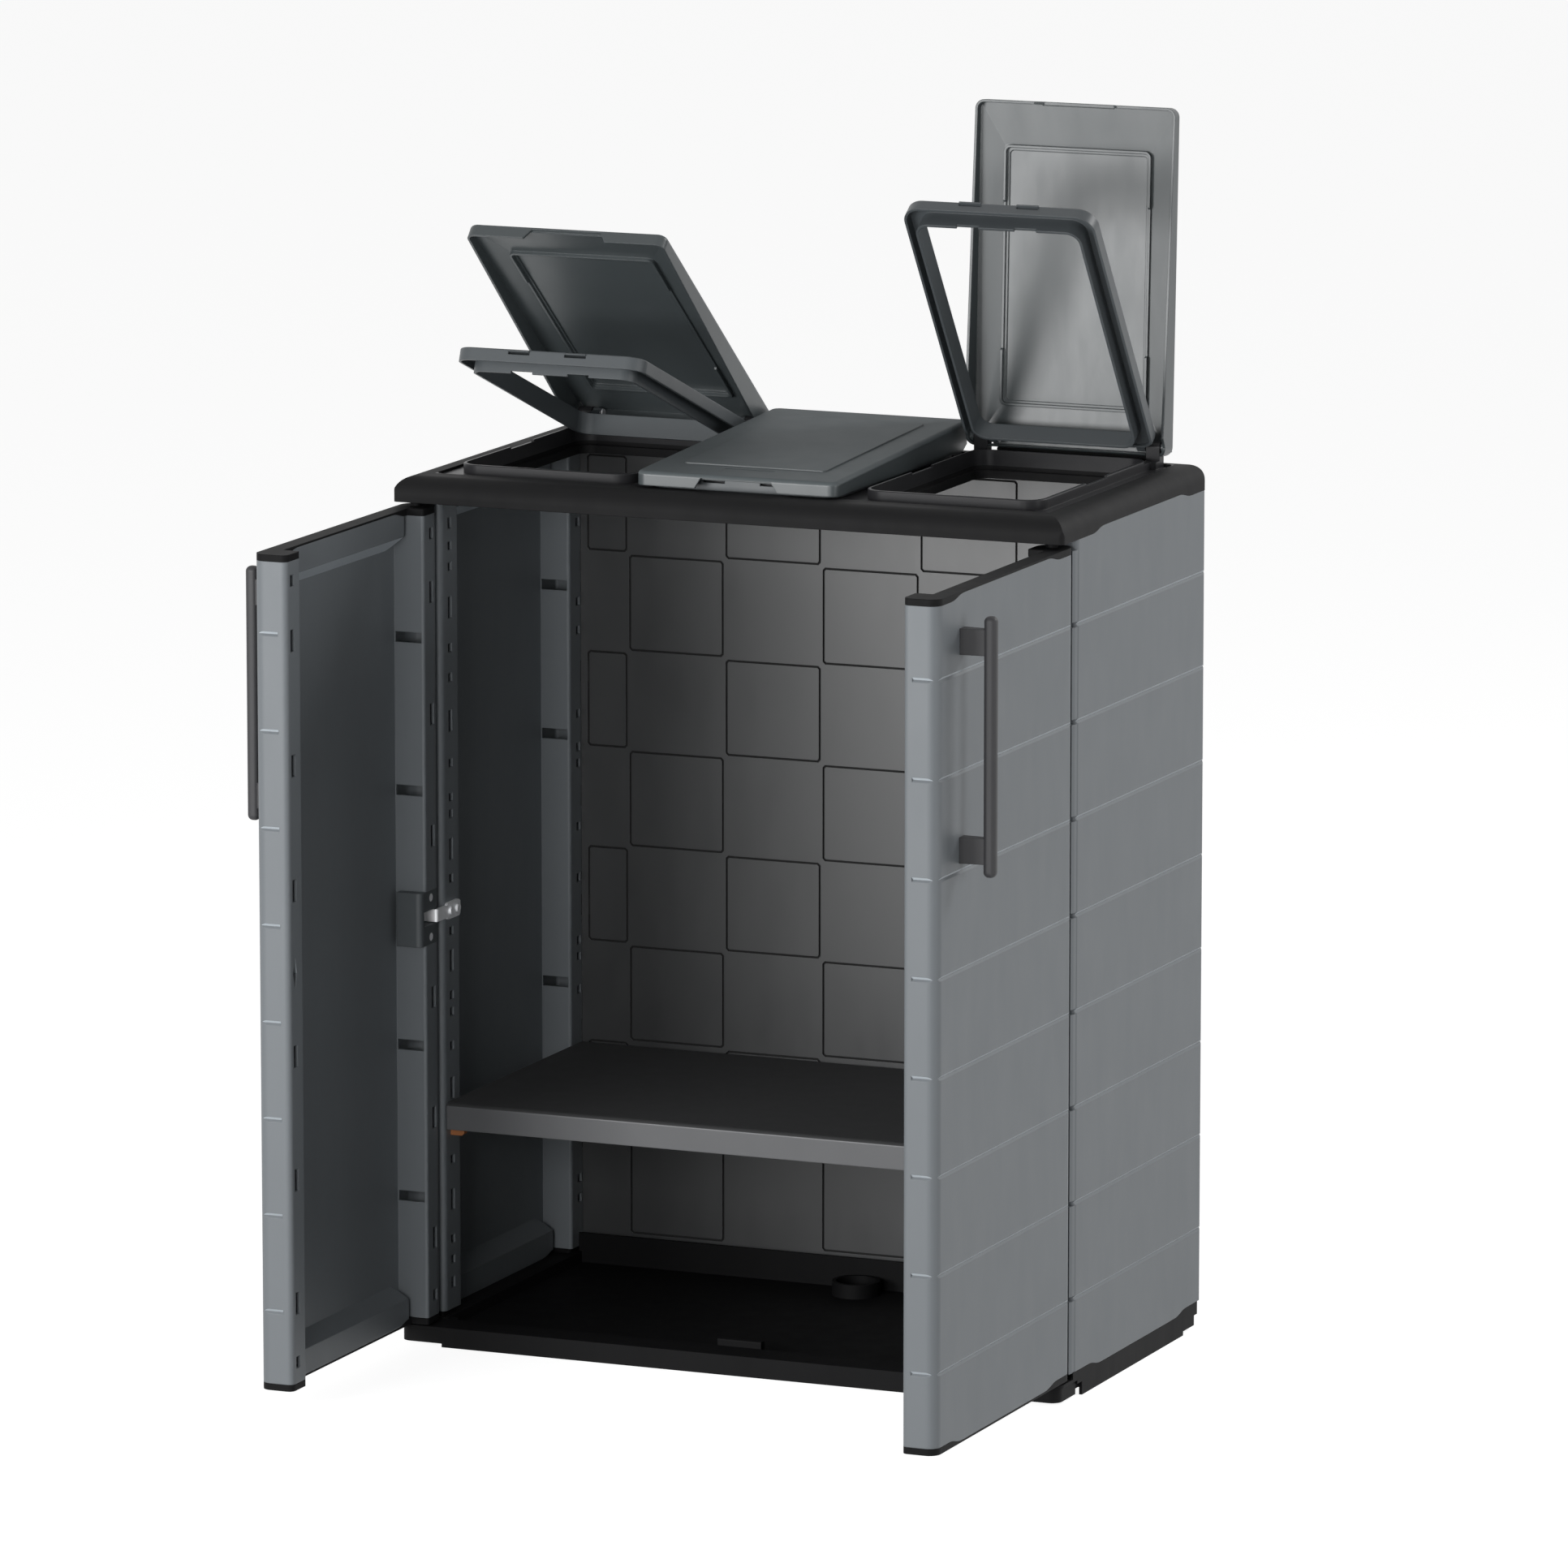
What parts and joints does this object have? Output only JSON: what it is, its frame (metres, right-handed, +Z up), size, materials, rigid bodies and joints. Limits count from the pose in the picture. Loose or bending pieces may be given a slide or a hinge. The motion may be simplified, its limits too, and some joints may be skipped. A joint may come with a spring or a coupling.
{
  "type": "recycling storage cabinet",
  "caption": "Upright resin cabinet for sorting recycling: grooved side panels, double doors with bar handles, a shelf, and flap lids with tilting bag frames over chutes in its black top.",
  "frame": {"origin": "on the floor under the middle of the base", "axes": "+X to the right seen from the front, +Y to the back, +Z up"},
  "size_m": [0.748, 0.6809, 1.177],
  "materials": {
    "grey_resin": "fine satin moulded face",
    "black_resin": "satin",
    "dark_resin": "satin",
    "lid_resin": "satin",
    "frame_resin": "satin",
    "peg_resin": "satin",
    "bright_steel": "bright plated"
  },
  "bodies": {
    "cabinet": {"base_tray": "black_resin", "left_side_panel": "grey_resin", "right_side_panel": "grey_resin", "back_panel": "dark_resin", "top_cover": "black_resin", "shelf": "dark_resin", "shelf_pegs": "peg_resin", "left_hinge_arm": "bright_steel", "right_hinge_arm": "bright_steel", "left_hinge_arm_screws": "bright_steel", "right_hinge_arm_screws": "bright_steel", "left_lid_pins": "bright_steel", "middle_lid_pins": "bright_steel", "right_lid_pins": "bright_steel"},
    "left_door": {"left_door_panel": "grey_resin", "left_door_top_cap": "black_resin", "left_door_bottom_cap": "black_resin", "left_handle": "black_resin", "left_handle_screws": "bright_steel", "left_hinge_housing": "dark_resin", "left_hinge_housing_screws": "bright_steel", "left_hinge_pin": "bright_steel"},
    "right_door": {"right_door_panel": "grey_resin", "right_door_top_cap": "black_resin", "right_door_bottom_cap": "black_resin", "right_handle": "black_resin", "right_handle_screws": "bright_steel", "right_hinge_housing": "dark_resin", "right_hinge_housing_screws": "bright_steel", "right_hinge_pin": "bright_steel"},
    "left_lid": {"left_lid": "lid_resin"},
    "left_bag_frame": {"left_bag_frame": "frame_resin"},
    "middle_lid": {"middle_lid": "lid_resin"},
    "middle_bag_frame": {"middle_bag_frame": "frame_resin"},
    "right_lid": {"right_lid": "lid_resin"},
    "right_bag_frame": {"right_bag_frame": "frame_resin"}
  },
  "joints": [
    {"name": "left_door_hinge", "type": "hinge", "parent": "cabinet", "child": "left_door", "pos_m": [-0.323, -0.168, 0.416], "axis": [0, 0, -1], "range_deg": [-90, 15]},
    {"name": "right_door_hinge", "type": "hinge", "parent": "cabinet", "child": "right_door", "pos_m": [0.323, -0.168, 0.416], "axis": [0, 0, 1], "range_deg": [-90, 15]},
    {"name": "left_lid_hinge", "type": "hinge", "parent": "cabinet", "child": "left_lid", "pos_m": [-0.207, 0.165, 0.855], "axis": [-1, 0, 0], "range_deg": [-41.5, 53.5]},
    {"name": "left_bag_frame_hinge", "type": "hinge", "parent": "cabinet", "child": "left_bag_frame", "pos_m": [-0.207, 0.165, 0.855], "axis": [-1, 0, 0], "range_deg": [-20.5, 26.5]},
    {"name": "middle_lid_hinge", "type": "hinge", "parent": "cabinet", "child": "middle_lid", "pos_m": [0, 0.165, 0.855], "axis": [-1, 0, 0], "range_deg": [0, 95]},
    {"name": "middle_bag_frame_hinge", "type": "hinge", "parent": "cabinet", "child": "middle_bag_frame", "pos_m": [0, 0.165, 0.855], "axis": [-1, 0, 0], "range_deg": [0, 52.3]},
    {"name": "right_lid_hinge", "type": "hinge", "parent": "cabinet", "child": "right_lid", "pos_m": [0.207, 0.165, 0.855], "axis": [-1, 0, 0], "range_deg": [-95, 0]},
    {"name": "right_bag_frame_hinge", "type": "hinge", "parent": "cabinet", "child": "right_bag_frame", "pos_m": [0.207, 0.165, 0.855], "axis": [-1, 0, 0], "range_deg": [-55.5, 0]}
  ],
  "couplings": [
    {"joint": "left_bag_frame_hinge", "follows": "left_lid_hinge", "ratio": 0.494},
    {"joint": "middle_bag_frame_hinge", "follows": "middle_lid_hinge", "ratio": 0.55},
    {"joint": "right_bag_frame_hinge", "follows": "right_lid_hinge", "ratio": 0.5842}
  ]
}
